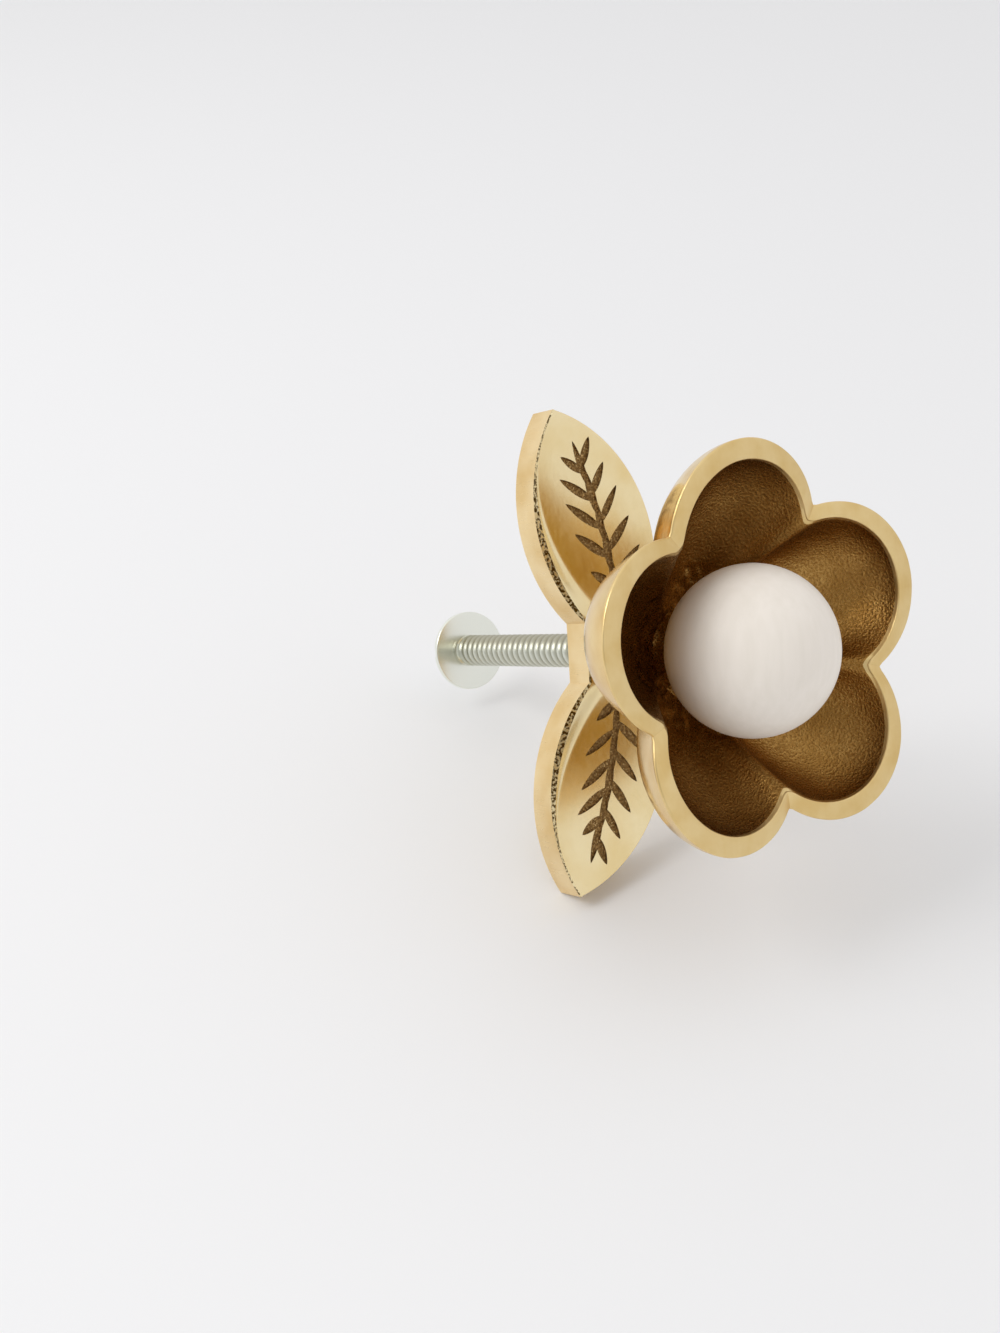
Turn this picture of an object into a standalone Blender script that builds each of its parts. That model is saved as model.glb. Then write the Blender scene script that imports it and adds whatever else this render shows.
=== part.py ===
# Flower cabinet knob: a cast brass flower cup with a white bead in it, on a cast brass plate with
# two leaves, fixed from behind by a machine screw.
# Metres, +Z up. The origin is on the screw's axis, in the flat back of the leaf plate. The flower
# faces -Y, and both leaves sweep up towards +Z. Every piece is drawn along the knob's own axis,
# where z is the distance in front of the plate's back, and hangs on one turned empty.

import math

import bmesh
import bpy
from mathutils import Vector

# Clearance between pieces that touch
GAP = 0.0003

# Leaf plate
PLATE_THICKNESS = 0.0039
HUB_HALF_WIDTH = 0.0033
HUB_HALF_HEIGHT = 0.0043
LEAF_REACH = 0.0278
LEAF_SWEEP = math.radians(15.0)
UPPER_EDGE_BULGE = 0.0043
LOWER_EDGE_BULGE = 0.0062
LEAF_DISH = 0.0020
DISH_BORDER_AT_HUB = 0.26
DISH_BORDER_AT_TIP = 0.06
DISH_RISE_AT_HUB = 6
DISH_FALL_AT_TIP = 1.2
EDGE_CHAMFER = 0.00025

# Engraved veins of one leaf, measured along the leaf from the screw's axis
MIDRIB_START = 0.0050
MIDRIB_END = 0.0210
MIDRIB_OFFSET = 0.00245
MIDRIB_BOW = 0.0007
MIDRIB_WIDTH = 0.0009
FIRST_BARB = 0.0070
BARB_SPACING = 0.0033
BARB_PAIRS = 5
BARB_LONGEST = 0.0054
BARB_SHORTEST = 0.0034
BARB_WIDTH = 0.00105
BARB_ANGLE_AT_HUB = math.radians(50.0)
BARB_ANGLE_AT_TIP = math.radians(36.0)
BARB_STAGGER = 0.0006
STROKE_SKEW = 0.85
STROKE_FULLNESS = 0.7
BARB_DEPTH = 0.00045
MIDRIB_DEPTH = 0.00055

# Flower cup
PETAL_COUNT = 5
FLOWER_TURN = math.radians(-9.9)
RIM_DEPTH = 0.0293
PETAL_TIP_RADIUS = 0.0210
PETAL_NOTCH_RADIUS = 0.0160
NOTCH_DIP = 0.0015
WALL = 0.00215
CUP_DEPTH = 0.0165
WALL_FLARE = 1.5
FLOOR_THICKNESS = 0.0024
VALLEY_FOOT_RADIUS = 0.0062
VALLEY_RISE = 0.0009
RIDGE_FOOT_RADIUS = 0.0052
RIDGE_RISE = 0.0005
RIM_CHAMFER = 0.00025
STEM_RADIUS = 0.0046
STEM_FILLET = 0.0010

# Bead, its seat in the cup and its pin
BEAD_RADIUS = 0.0088
SEAT_RADIUS = 0.0042
SEAT_HEIGHT = 0.00168
PIN_RADIUS = 0.0012
PIN_IN_SEAT = 0.0030
PIN_IN_BEAD = 0.0055

# Mounting screw
THREAD_RADIUS = 0.0020
SCREW_END_WEB = 0.00188
SCREW_BEHIND_PLATE = 0.0284
SCREW_POINT_CHAMFER = 0.0004
HEAD_RADIUS = 0.00505
HEAD_RIM = 0.0006
HEAD_DOME = 0.0012
SLOT_WIDTH = 0.0011
SLOT_DEPTH = 0.0014

# Fineness of the curved surfaces
ARC_STEPS = 14
CUP_RINGS = 13
LEAF_STATIONS = 20
LEAF_ACROSS = 14
LENS_STEPS = 6
ROUND_STEPS = 40


# The one collection of parts, the one of cutters, and the empty that turns the knob's axis to -Y
for old in list(bpy.data.objects):
    bpy.data.objects.remove(old, do_unlink=True)

PARTS = bpy.data.collections.new("flower_cabinet_knob")
CUTTERS = bpy.data.collections.new("cutters")
bpy.context.scene.collection.children.link(PARTS)
bpy.context.scene.collection.children.link(CUTTERS)

AXIS = bpy.data.objects.new("knob_axis", None)
AXIS.rotation_euler = (math.radians(90.0), 0.0, 0.0)
PARTS.objects.link(AXIS)


def add_object(name, mesh, collection):
    """An object for the mesh, carried by the knob's axis."""
    added = bpy.data.objects.new(name, mesh)
    collection.objects.link(added)
    added.parent = AXIS
    return added


def hide_cutter(cutter):
    """Shows a cutter as wire and leaves it out of renders."""
    cutter.hide_render = True
    cutter.display_type = "WIRE"


def cut(body, cutter, crossing=False):
    """Takes the cutter out of the body; crossing is for a cutter whose pieces overlap."""
    hide_cutter(cutter)
    step = body.modifiers.new("cut_" + cutter.name, "BOOLEAN")
    step.operation = "DIFFERENCE"
    step.solver = "EXACT"
    step.use_self = crossing
    step.object = cutter


def finish(body, colour, metallic, roughness, crease=35.0):
    """Makes the modifiers real, shades the round faces smooth and adds the material."""
    bpy.context.view_layer.update()
    graph = bpy.context.evaluated_depsgraph_get()
    mesh = bpy.data.meshes.new_from_object(body.evaluated_get(graph))
    body.modifiers.clear()
    body.data = mesh
    mesh.name = body.name
    mesh.shade_smooth()
    mesh.set_sharp_from_angle(angle=math.radians(crease))
    material = bpy.data.materials.new(body.name)
    material.use_nodes = True
    shader = material.node_tree.nodes["Principled BSDF"]
    shader.inputs["Base Color"].default_value = (*colour, 1.0)
    shader.inputs["Metallic"].default_value = metallic
    shader.inputs["Roughness"].default_value = roughness
    mesh.materials.clear()
    mesh.materials.append(material)


def loft(name, rings, collection, capped=True):
    """A closed skin over rings of equally many points; the end rings close to their middles."""
    shape = bmesh.new()
    rows = [[shape.verts.new(point) for point in ring] for ring in rings]
    count = len(rows[0])
    for row, following in zip(rows, rows[1:]):
        for i in range(count):
            j = (i + 1) % count
            shape.faces.new((row[i], row[j], following[j], following[i]))
    if capped:
        for row in (rows[0], rows[-1]):
            middle = shape.verts.new(sum((v.co for v in row), Vector()) / count)
            for i in range(count):
                shape.faces.new((row[i], row[(i + 1) % count], middle))
    bmesh.ops.remove_doubles(shape, verts=shape.verts, dist=1e-7)
    bmesh.ops.recalc_face_normals(shape, faces=shape.faces)
    mesh = bpy.data.meshes.new(name)
    shape.to_mesh(mesh)
    shape.free()
    return add_object(name, mesh, collection)


def turned(name, profile, collection):
    """A round piece: the profile's (radius, z) points run down its outer side."""
    mesh = bpy.data.meshes.new(name)
    edges = [(i, i + 1) for i in range(len(profile) - 1)]
    mesh.from_pydata([(radius, 0.0, z) for radius, z in profile], edges, [])
    body = add_object(name, mesh, collection)
    spin = body.modifiers.new("turn", "SCREW")
    spin.axis = "Z"
    spin.steps = ROUND_STEPS
    spin.render_steps = ROUND_STEPS
    spin.use_merge_vertices = True
    spin.merge_threshold = 1e-6
    return body


def arc_points(centre_z, radius, start, end, steps):
    """Points (radius from the axis, z) on a circle about the axis, by angle from +z."""
    turns = [start + (end - start) * i / steps for i in range(steps + 1)]
    return [(radius * math.sin(turn), centre_z + radius * math.cos(turn)) for turn in turns]


# Leaf plate

TIP = Vector((LEAF_REACH * math.cos(LEAF_SWEEP), LEAF_REACH * math.sin(LEAF_SWEEP)))
UPPER_CORNER = Vector((HUB_HALF_WIDTH, HUB_HALF_HEIGHT))
LOWER_CORNER = Vector((HUB_HALF_WIDTH, -HUB_HALF_HEIGHT))


def arc_point(start, end, bulge, share):
    """The point at a share of the arc from start to end; a positive bulge is to its left."""
    chord = end - start
    half_turn = 2.0 * math.atan2(2.0 * abs(bulge), chord.length)
    radius = chord.length / (2.0 * math.sin(half_turn))
    turn = half_turn * (2.0 * share - 1.0)
    along = chord.length / 2.0 + radius * math.sin(turn)
    aside = math.copysign(radius * (math.cos(turn) - math.cos(half_turn)), bulge)
    forward = chord.normalized()
    return start + forward * along + Vector((-forward.y, forward.x)) * aside


def leaf_edges(share):
    """The upper and lower edge points of the +X leaf, at a share of its length."""
    upper = arc_point(UPPER_CORNER, TIP, UPPER_EDGE_BULGE, share)
    lower = arc_point(LOWER_CORNER, TIP, -LOWER_EDGE_BULGE, share)
    return upper, lower


def face_z(share, across):
    """Height of the dished face: across its width, from 0 at the upper edge to 1 at the lower,
    it drops fast over a border and then rises slowly."""
    lengthways = (1.0 - (1.0 - share) ** DISH_RISE_AT_HUB) * (1.0 - share ** DISH_FALL_AT_TIP)
    border = DISH_BORDER_AT_HUB + (DISH_BORDER_AT_TIP - DISH_BORDER_AT_HUB) * share
    drop = min(across / border, 1.0)
    sideways = drop ** 2 * (3.0 - 2.0 * drop) * (1.0 - across)
    return PLATE_THICKNESS - LEAF_DISH * lengthways * sideways


def leaf_ring(share, side):
    """The plate's section at a share of the leaf's length; side is 1 for +X and -1 for -X."""
    upper, lower = leaf_edges(share)
    width = (lower - upper).length
    inset = min(EDGE_CHAMFER, width / 4.0)
    margin = inset / width if width > 1e-6 else 0.0
    front = [(0.0, PLATE_THICKNESS - inset)]
    for i in range(LEAF_ACROSS + 1):
        across = margin + (1.0 - 2.0 * margin) * i / LEAF_ACROSS
        front.append((across, face_z(share, across)))
    front.append((1.0, PLATE_THICKNESS - inset))
    flat = [(upper.lerp(lower, across), z) for across, z in front]
    flat += [(lower, 0.0), (upper, 0.0)]
    return [Vector((side * point.x, point.y, z)) for point, z in flat]


def plate_height(point):
    """Height of the +X leaf's face at a flat point, found by halving along the leaf."""
    low, high = 0.0, 1.0
    for _ in range(30):
        share = (low + high) / 2.0
        upper, lower = leaf_edges(share)
        line = lower - upper
        offset = point - upper
        if line.x * offset.y - line.y * offset.x > 0.0:
            low = share
        else:
            high = share
    across = offset.dot(line) / line.length_squared
    return face_z(share, min(max(across, 0.0), 1.0))


def leaf_point(along, aside):
    """A flat point of the +X leaf, from its distance along and beside the leaf's axis."""
    cos, sin = math.cos(LEAF_SWEEP), math.sin(LEAF_SWEEP)
    return Vector((along * cos - aside * sin, along * sin + aside * cos))


def midrib_aside(along):
    """How far beside the leaf's axis the bowed midrib runs."""
    middle = (MIDRIB_START + MIDRIB_END) / 2.0
    half = (MIDRIB_END - MIDRIB_START) / 2.0
    return -MIDRIB_OFFSET + MIDRIB_BOW * ((along - middle) / half) ** 2


def add_lens(shape, spine, width, depth, side):
    """A pointed graver's cut along a spine of flat points, as a closed cutter."""
    count = len(spine)
    outline = []
    for way in (1.0, -1.0):
        order = range(count) if way > 0.0 else range(count - 2, 0, -1)
        for i in order:
            before, after = spine[max(i - 1, 0)], spine[min(i + 1, count - 1)]
            forward = (after - before).normalized()
            swell = math.sin(math.pi * (i / (count - 1)) ** STROKE_SKEW)
            half = width / 2.0 * max(swell, 0.0) ** STROKE_FULLNESS
            outline.append(spine[i] + Vector((-forward.y, forward.x)) * half * way)
    top = PLATE_THICKNESS + depth
    floor = [Vector((side * p.x, p.y, plate_height(p) - depth)) for p in outline]
    lid = [Vector((side * p.x, p.y, top)) for p in outline]
    lows = [shape.verts.new(p) for p in floor]
    highs = [shape.verts.new(p) for p in lid]
    total = len(outline)
    for i in range(total):
        j = (i + 1) % total
        shape.faces.new((lows[i], lows[j], highs[j], highs[i]))
    for row in (lows, highs):
        for i in range(1, count - 1):
            shape.faces.new((row[i], row[i + 1], row[total - i]))
            shape.faces.new((row[i], row[total - i], row[(total - i + 1) % total]))


def straight(start, end):
    """Evenly spaced points from start to end, ends included."""
    return [start.lerp(end, i / LENS_STEPS) for i in range(LENS_STEPS + 1)]


def vein_spines():
    """Spine, width and depth of one leaf's cuts: midrib, end prong and barbs in pairs."""
    steps = 2 * LENS_STEPS
    run = [MIDRIB_START + (MIDRIB_END - MIDRIB_START) * i / steps for i in range(steps + 1)]
    midrib = [leaf_point(along, midrib_aside(along)) for along in run]
    cuts = [(midrib, MIDRIB_WIDTH, MIDRIB_DEPTH)]
    prong_root = MIDRIB_END - 0.3 * BARB_SHORTEST
    prong = (leaf_point(prong_root, midrib_aside(prong_root)),
             leaf_point(MIDRIB_END + BARB_SHORTEST, midrib_aside(MIDRIB_END)))
    cuts.append((straight(*prong), BARB_WIDTH, BARB_DEPTH))
    for pair in range(BARB_PAIRS):
        share = pair / max(BARB_PAIRS - 1, 1)
        angle = BARB_ANGLE_AT_HUB + (BARB_ANGLE_AT_TIP - BARB_ANGLE_AT_HUB) * share
        swell = math.sin(math.pi * share)
        length = BARB_SHORTEST + (BARB_LONGEST - BARB_SHORTEST) * swell
        for way, stagger in ((1.0, 0.0), (-1.0, BARB_STAGGER)):
            along = FIRST_BARB + BARB_SPACING * pair + stagger
            root = midrib_aside(along)
            end = leaf_point(along + length * math.cos(angle),
                             root + way * length * math.sin(angle))
            cuts.append((straight(leaf_point(along, root), end), BARB_WIDTH, BARB_DEPTH))
    return cuts


def build_leaf_plate():
    """Hub and two dished leaves in one casting, with engraved veins and a screw hole."""
    shares = [(i / LEAF_STATIONS) ** 1.2 for i in range(LEAF_STATIONS + 1)]
    rings = [leaf_ring(share, -1.0) for share in reversed(shares)]
    rings += [leaf_ring(share, 1.0) for share in shares]
    plate = loft("leaf_plate", rings, PARTS, capped=False)
    for side, name in ((1.0, "right_veins"), (-1.0, "left_veins")):
        shape = bmesh.new()
        for spine, width, depth in vein_spines():
            add_lens(shape, spine, width, depth, side)
        bmesh.ops.recalc_face_normals(shape, faces=shape.faces)
        mesh = bpy.data.meshes.new(name)
        shape.to_mesh(mesh)
        shape.free()
        cut(plate, add_object(name, mesh, CUTTERS), crossing=True)
    radius, top = THREAD_RADIUS + GAP, PLATE_THICKNESS + GAP
    profile = [(0.0, top), (radius, top), (radius, -GAP), (0.0, -GAP)]
    cut(plate, turned("screw_hole", profile, CUTTERS))
    finish(plate, (0.70, 0.50, 0.20), 1.0, 0.35)


# Flower cup

STEM_BACK = PLATE_THICKNESS + GAP
FLOOR = RIM_DEPTH - CUP_DEPTH + FLOOR_THICKNESS
SEAT_TOP = FLOOR + SEAT_HEIGHT
PIN_HOLE_RADIUS = PIN_RADIUS + GAP
PIN_HOLE_END = SEAT_TOP - PIN_IN_SEAT - GAP
SCREW_HOLE_END = PIN_HOLE_END - SCREW_END_WEB


def petal_ring(tip_radius, tip_z, notch_radius, notch_z):
    """A ring of equal arcs, one for each petal, that meet at the notches."""
    half = math.pi / PETAL_COUNT
    notch_x = notch_radius * math.cos(half)
    centre = (tip_radius ** 2 - notch_radius ** 2) / (2.0 * (tip_radius - notch_x))
    spread = math.atan2(notch_radius * math.sin(half), notch_x - centre)
    ring = []
    for petal in range(PETAL_COUNT):
        ahead = math.pi / 2.0 + FLOWER_TURN + 2.0 * half * petal
        for i in range(ARC_STEPS):
            share = 2.0 * i / ARC_STEPS - 1.0
            x = centre + (tip_radius - centre) * math.cos(spread * share)
            y = (tip_radius - centre) * math.sin(spread * share)
            ring.append(Vector((x * math.cos(ahead) - y * math.sin(ahead),
                                x * math.sin(ahead) + y * math.cos(ahead),
                                tip_z + (notch_z - tip_z) * share ** 2)))
    return ring


def round_ring(radius, z):
    """A plain round ring with the petals' own points."""
    return petal_ring(radius, z, radius, z)


def bowl_rings(tip_radius, notch_radius, depth, foot_radius, foot_rise):
    """Rings up one side of the cup's wall: petals on a flared oval, notches on a straight line."""
    foot_turn = math.acos((foot_radius / tip_radius) ** (1.0 / WALL_FLARE))
    foot_z = RIM_DEPTH - depth * math.sin(foot_turn)
    rim_notch_z = RIM_DEPTH - NOTCH_DIP
    rings = []
    for i in range(CUP_RINGS + 1):
        turn = foot_turn * (1.0 - i / CUP_RINGS)
        tip_z = RIM_DEPTH - depth * math.sin(turn)
        climb = (tip_z - foot_z) / (RIM_DEPTH - foot_z)
        notch_z = foot_z + foot_rise + (rim_notch_z - foot_z - foot_rise) * climb
        rings.append((tip_radius * math.cos(turn) ** WALL_FLARE, tip_z,
                      foot_radius + (notch_radius - foot_radius) * climb, notch_z))
    return rings


def build_flower_cup():
    """Stem and five-petal cup in one casting, with a seat for the bead."""
    screw_hole = THREAD_RADIUS + GAP
    rings = [round_ring(screw_hole, SCREW_HOLE_END), round_ring(screw_hole, STEM_BACK),
             round_ring(STEM_RADIUS - EDGE_CHAMFER, STEM_BACK),
             round_ring(STEM_RADIUS, STEM_BACK + EDGE_CHAMFER)]
    outer = bowl_rings(PETAL_TIP_RADIUS, PETAL_NOTCH_RADIUS, CUP_DEPTH,
                       VALLEY_FOOT_RADIUS, VALLEY_RISE)
    foot_z = outer[0][1]
    rings += [round_ring(STEM_RADIUS, foot_z - STEM_FILLET),
              round_ring((STEM_RADIUS * 3.0 + VALLEY_FOOT_RADIUS) / 4.0, foot_z - STEM_FILLET * 0.4)]
    rings += [petal_ring(*ring) for ring in outer[:-1]]

    inner_tip = PETAL_TIP_RADIUS - WALL
    inner_notch = PETAL_NOTCH_RADIUS - WALL
    notch_z = RIM_DEPTH - NOTCH_DIP
    rings += [petal_ring(PETAL_TIP_RADIUS, RIM_DEPTH - RIM_CHAMFER,
                         PETAL_NOTCH_RADIUS, notch_z - RIM_CHAMFER),
              petal_ring(PETAL_TIP_RADIUS - RIM_CHAMFER, RIM_DEPTH,
                         PETAL_NOTCH_RADIUS - RIM_CHAMFER, notch_z),
              petal_ring(inner_tip + RIM_CHAMFER, RIM_DEPTH, inner_notch + RIM_CHAMFER, notch_z),
              petal_ring(inner_tip, RIM_DEPTH - RIM_CHAMFER, inner_notch, notch_z - RIM_CHAMFER)]
    inner = bowl_rings(inner_tip, inner_notch, CUP_DEPTH - FLOOR_THICKNESS,
                       RIDGE_FOOT_RADIUS, RIDGE_RISE)
    rings += [petal_ring(*ring) for ring in reversed(inner[:-1])]

    rings += [round_ring(SEAT_RADIUS, SEAT_TOP), round_ring(PIN_HOLE_RADIUS, SEAT_TOP),
              round_ring(PIN_HOLE_RADIUS, PIN_HOLE_END)]
    cup = loft("flower_cup", rings, PARTS)
    finish(cup, (0.45, 0.31, 0.12), 1.0, 0.45)


# Bead and pin

BEAD_MOUTH = math.sqrt(BEAD_RADIUS ** 2 - PIN_HOLE_RADIUS ** 2)
BEAD_CENTRE = SEAT_TOP + GAP + BEAD_MOUTH
BEAD_HOLE_END = BEAD_CENTRE - BEAD_MOUTH + PIN_IN_BEAD


def build_bead():
    """White ball with a blind hole for its pin."""
    mouth_turn = math.pi - math.asin(PIN_HOLE_RADIUS / BEAD_RADIUS)
    profile = arc_points(BEAD_CENTRE, BEAD_RADIUS, 0.0, mouth_turn, ROUND_STEPS // 2)
    profile += [(PIN_HOLE_RADIUS, BEAD_HOLE_END), (0.0, BEAD_HOLE_END)]
    bead = turned("bead", profile, PARTS)
    finish(bead, (0.86, 0.81, 0.77), 0.0, 0.45)


def build_bead_pin():
    """Plain pin glued into the seat and the bead."""
    top = BEAD_HOLE_END - GAP
    bottom = PIN_HOLE_END + GAP
    profile = [(0.0, top), (PIN_RADIUS, top), (PIN_RADIUS, bottom), (0.0, bottom)]
    pin = turned("bead_pin", profile, PARTS)
    finish(pin, (0.60, 0.43, 0.18), 1.0, 0.4)


# Mounting screw

def build_mounting_screw():
    """Machine screw with a wide domed head, slotted right across and through its rim."""
    point = SCREW_HOLE_END - GAP
    seat = -SCREW_BEHIND_PLATE
    rim = seat - HEAD_RIM
    dome_radius = (HEAD_RADIUS ** 2 + HEAD_DOME ** 2) / (2.0 * HEAD_DOME)
    dome_centre = rim - HEAD_DOME + dome_radius
    dome_turn = math.pi - math.asin(HEAD_RADIUS / dome_radius)
    profile = [(0.0, point), (THREAD_RADIUS - SCREW_POINT_CHAMFER, point),
               (THREAD_RADIUS, point - SCREW_POINT_CHAMFER), (THREAD_RADIUS, seat),
               (HEAD_RADIUS, seat)]
    profile += arc_points(dome_centre, dome_radius, dome_turn, math.pi, 8)
    screw = turned("mounting_screw", profile, PARTS)

    bottom = rim - HEAD_DOME
    bpy.ops.mesh.primitive_cube_add(size=1.0)
    slot = bpy.context.active_object
    slot.name = "driver_slot"
    for holder in list(slot.users_collection):
        holder.objects.unlink(slot)
    CUTTERS.objects.link(slot)
    slot.parent = AXIS
    slot.scale = (SLOT_WIDTH, 3.0 * HEAD_RADIUS, 2.0 * SLOT_DEPTH)
    slot.location = (0.0, 0.0, bottom)
    cut(screw, slot)
    finish(screw, (0.62, 0.64, 0.60), 1.0, 0.3)


build_leaf_plate()
build_flower_cup()
build_bead()
build_bead_pin()
build_mounting_screw()
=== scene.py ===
# Flower cabinet knob, dressed for the camera. Metres; the origin is on the screw's axis in the
# back of the leaf plate, the flower faces -Y and both leaves sweep up towards +Z.

import math

import bmesh
import bpy
from mathutils import Matrix, Vector


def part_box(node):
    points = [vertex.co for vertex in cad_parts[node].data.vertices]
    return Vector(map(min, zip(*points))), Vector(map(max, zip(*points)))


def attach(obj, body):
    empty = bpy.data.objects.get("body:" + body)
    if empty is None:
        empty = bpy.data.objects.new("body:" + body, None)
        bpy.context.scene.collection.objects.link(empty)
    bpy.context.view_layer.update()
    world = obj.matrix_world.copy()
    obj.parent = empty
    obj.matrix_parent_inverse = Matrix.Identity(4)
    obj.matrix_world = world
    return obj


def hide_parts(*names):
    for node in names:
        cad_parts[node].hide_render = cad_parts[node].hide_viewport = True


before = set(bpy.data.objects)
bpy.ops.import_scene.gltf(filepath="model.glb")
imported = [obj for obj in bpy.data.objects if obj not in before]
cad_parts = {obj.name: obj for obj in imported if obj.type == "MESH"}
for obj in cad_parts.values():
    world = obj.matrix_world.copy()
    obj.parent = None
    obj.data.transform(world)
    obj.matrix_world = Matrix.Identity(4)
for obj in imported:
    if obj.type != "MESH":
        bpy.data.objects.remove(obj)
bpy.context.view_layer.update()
scene = bpy.context.scene
scene.view_settings.view_transform = "Standard"
MM = 0.001


# Leaf plate: one brass casting with a narrow hub and two leaves, its back ground flat. The faces
# are dished, steeply along the upper edge, and rubbed to a satin sheen. The veins are cut with a
# graver and left dark, and the draw-filed edges keep a thin rough line of casting skin.

plate_thickness = -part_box("leaf_plate")[0][1]
hub_half_width = 3.3 * MM
hub_half_height = 4.3 * MM
leaf_reach = 27.8 * MM
leaf_sweep = math.radians(15.0)
upper_edge_bulge = 4.3 * MM
lower_edge_bulge = 6.2 * MM
leaf_dish = 2.0 * MM
dish_border_at_hub = 0.36
dish_border_at_tip = 0.04
dish_border_fall = 2.2
dish_rise_at_hub = 6
dish_fall_at_tip = 1.2
skin_width = 0.70 * MM
skin_at_ends = 0.3
skin_skew = 0.7
skin_drop = 0.7
edge_break = 0.12 * MM
thinnest_leaf = 0.001 * MM
leaf_stations = 80
crowding_at_hub = 1.2
leaf_across = 42
crowding_at_edge = 1.7
wall_rows = 5
screw_hole_radius = 2.3 * MM
screw_hole_sides = 64
weld = 1e-4 * MM
satin, filed, rough, cut = range(4)

midrib_start = 5.0 * MM
midrib_end = 21.0 * MM
midrib_offset = 2.45 * MM
midrib_bow = 0.7 * MM
first_barb = 7.0 * MM
barb_spacing = 3.3 * MM
barb_pairs = 5
barb_longest = 5.4 * MM
barb_shortest = 3.4 * MM
barb_width = 1.05 * MM
barb_angle = math.radians(50.0)
barb_closing = math.radians(14.0)
barb_stagger = 0.6 * MM
barb_fading = 1.1
fading_closing = 0.5
left_lead = 1.7 * MM
left_rise = 0.7 * MM
rib_lead = 1.6 * MM
rib_stroke = 5.2 * MM
rib_width = 0.95 * MM
cut_depth = 0.24 * MM
blade_skew = 0.85
blade_fullness = 0.7
blade_columns = 17
blade_rows = 5
blade_weld = 1e-4
midrib_steps = 32
stroke_chances = (("length", 0.05), ("width", 0.12), ("turn", 0.05))
chance_step = 20
block_height = 1.0 * MM
ray_length = 10.0 * MM


def linear(code, alpha=1.0):
    """A linear colour from an sRGB hex code."""
    parts = [int(code[i:i + 2], 16) / 255.0 for i in (0, 2, 4)]
    return [c / 12.92 if c <= 0.04045 else ((c + 0.055) / 1.055) ** 2.4 for c in parts] + [alpha]


def add(tree, kind, inputs=(), **settings):
    """A node with its settings; an input takes a value, a socket or a node's first live output."""
    node = tree.nodes.new(kind)
    for name, value in settings.items():
        setattr(node, name, value)
    for key, value in dict(inputs).items():
        if isinstance(value, bpy.types.Node):
            value = next(socket for socket in value.outputs if socket.enabled)
        if isinstance(value, bpy.types.NodeSocket):
            tree.links.new(value, node.inputs[key])
        else:
            node.inputs[key].default_value = value
    return node


def work_out(tree, known, formula):
    """Adds a formula line by line: each names its result, an operation and what it works on."""
    for result, operation, *values in formula:
        taken = {place: known.get(value, value) for place, value in enumerate(values)}
        known[result] = add(tree, "ShaderNodeMath", taken, operation=operation)
    return known


def new_material(name):
    """A material, its emptied tree and the Object coordinates that its patterns follow."""
    material = bpy.data.materials.new(name)
    material.use_nodes = True
    tree = material.node_tree
    tree.nodes.clear()
    return material, tree, add(tree, "ShaderNodeTexCoord").outputs["Object"]


def clouds(tree, place, size, low, high, detail=3.0, stretch=(1.0, 1.0, 1.0)):
    """Blotches of a real size in metres, spread from 0 at low to 1 at high."""
    scaled = add(tree, "ShaderNodeMapping", {"Vector": place, "Scale": stretch})
    noise = add(tree, "ShaderNodeTexNoise",
                {"Vector": scaled, "Scale": 1.0 / size, "Detail": detail})
    return add(tree, "ShaderNodeMapRange", {"Value": noise, "From Min": low, "From Max": high})


def surface(tree, colour, roughness, metallic=1.0, relief=None, depth=0.0):
    """Ends a material's tree; relief is a height pattern with its real depth in metres."""
    inputs = {"Base Color": colour, "Roughness": roughness, "Metallic": metallic}
    if relief is not None:
        inputs["Normal"] = add(tree, "ShaderNodeBump", {"Height": relief, "Distance": depth})
    shader = add(tree, "ShaderNodeBsdfPrincipled", inputs)
    add(tree, "ShaderNodeOutputMaterial", {"Surface": shader})


def satin_brass():
    """Cast brass rubbed with fine abrasive: warm gold with a soft, slightly cloudy gloss."""
    material, tree, place = new_material("satin_cast_brass")
    cloud = clouds(tree, place, 5.0 * MM, 0.35, 0.7)
    rubbed = clouds(tree, place, 0.35 * MM, 0.3, 0.7, stretch=(0.35, 1.0, 1.0))
    colour = add(tree, "ShaderNodeMix", {0: cloud, 6: linear("F8E6B8"), 7: linear("F0D8A0")},
                 data_type="RGBA")
    rough = add(tree, "ShaderNodeMapRange", {"Value": rubbed, "To Min": 0.19, "To Max": 0.25})
    surface(tree, colour, rough, relief=rubbed, depth=0.0015 * MM)
    return material


def filed_brass():
    """The same casting draw-filed through its thickness, which leaves fine upright lines."""
    material, tree, place = new_material("filed_brass_edge")
    cloud = clouds(tree, place, 6.0 * MM, 0.3, 0.7)
    lines = clouds(tree, place, 0.22 * MM, 0.3, 0.7, stretch=(1.0, 0.08, 1.0))
    colour = add(tree, "ShaderNodeMix", {0: cloud, 6: linear("F4DDAE"), 7: linear("E0BE80")},
                 data_type="RGBA")
    rough = add(tree, "ShaderNodeMapRange", {"Value": lines, "To Min": 0.25, "To Max": 0.42})
    surface(tree, colour, rough, relief=lines, depth=0.006 * MM)
    return material


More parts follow.
